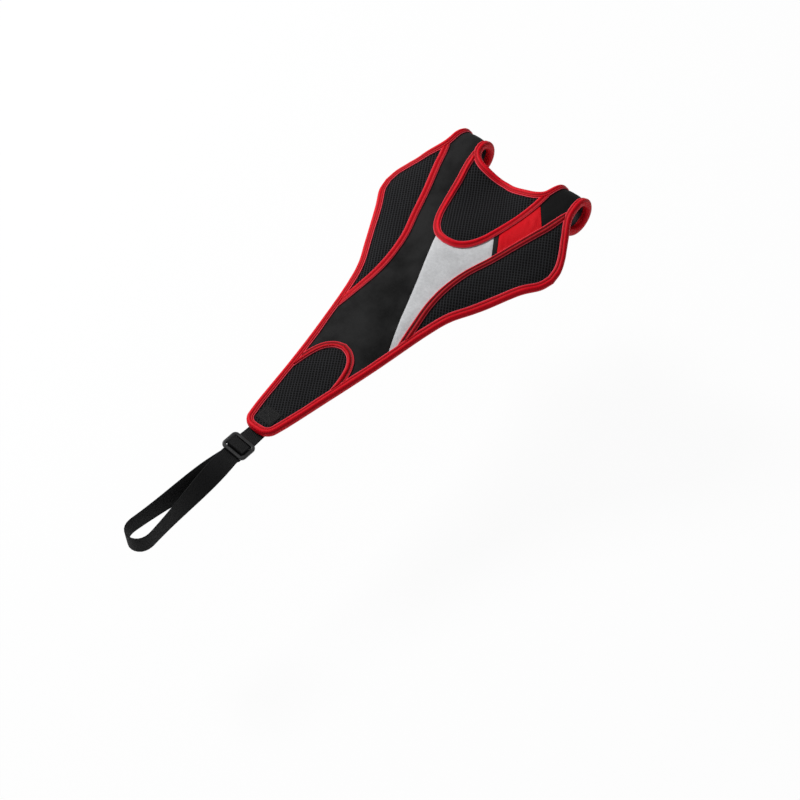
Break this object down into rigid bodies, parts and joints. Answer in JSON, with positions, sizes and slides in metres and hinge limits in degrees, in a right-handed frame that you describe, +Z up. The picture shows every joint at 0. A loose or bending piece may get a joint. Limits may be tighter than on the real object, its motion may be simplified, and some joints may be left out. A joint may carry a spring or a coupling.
{
  "type": "bicycle sweat guard",
  "caption": "Padded fabric guard that wraps a handlebar with two arms, covers the frame below with mesh wings and a narrow tail, and ends in an adjustable webbing loop.",
  "frame": {"origin": "on the handlebar's axis, in the guard's middle plane", "axes": "+Y forwards along the bicycle, from the seat post to the handlebar; +X to the rider's right, along the handlebar; +Z up"},
  "size_m": [0.2744, 0.6933, 0.1224],
  "materials": {
    "lining": "brushed absorbent lining",
    "mesh": "black spacer mesh with fine ribs",
    "black_cloth": "smooth matt knit",
    "pale_cloth": "heathered silver-grey knit",
    "red_cloth": "smooth red knit, plain",
    "red_tape": "satin binding tape",
    "hook_and_loop": "hook-and-loop pile",
    "webbing": "woven webbing",
    "black_plastic": "satin moulded plastic"
  },
  "bodies": {
    "root": {"lining": "lining", "right_wing_mesh": "mesh", "left_wing_mesh": "mesh", "neck_mesh": "mesh", "tail_mesh": "mesh", "main_panel": "black_cloth", "pale_panel": "pale_cloth", "divider_strip": "black_cloth", "label_patch": "red_cloth", "right_arm_panel": "black_cloth", "edge_binding": "red_tape", "right_wing_tape": "red_tape", "left_wing_tape": "red_tape", "neck_tape": "red_tape", "tail_tape": "red_tape", "right_hook_pad": "hook_and_loop", "left_hook_pad": "hook_and_loop", "right_loop_pad": "hook_and_loop", "left_loop_pad": "hook_and_loop", "anchor_patch": "webbing", "webbing_loop": "webbing", "slider": "black_plastic"}
  },
  "joints": []
}
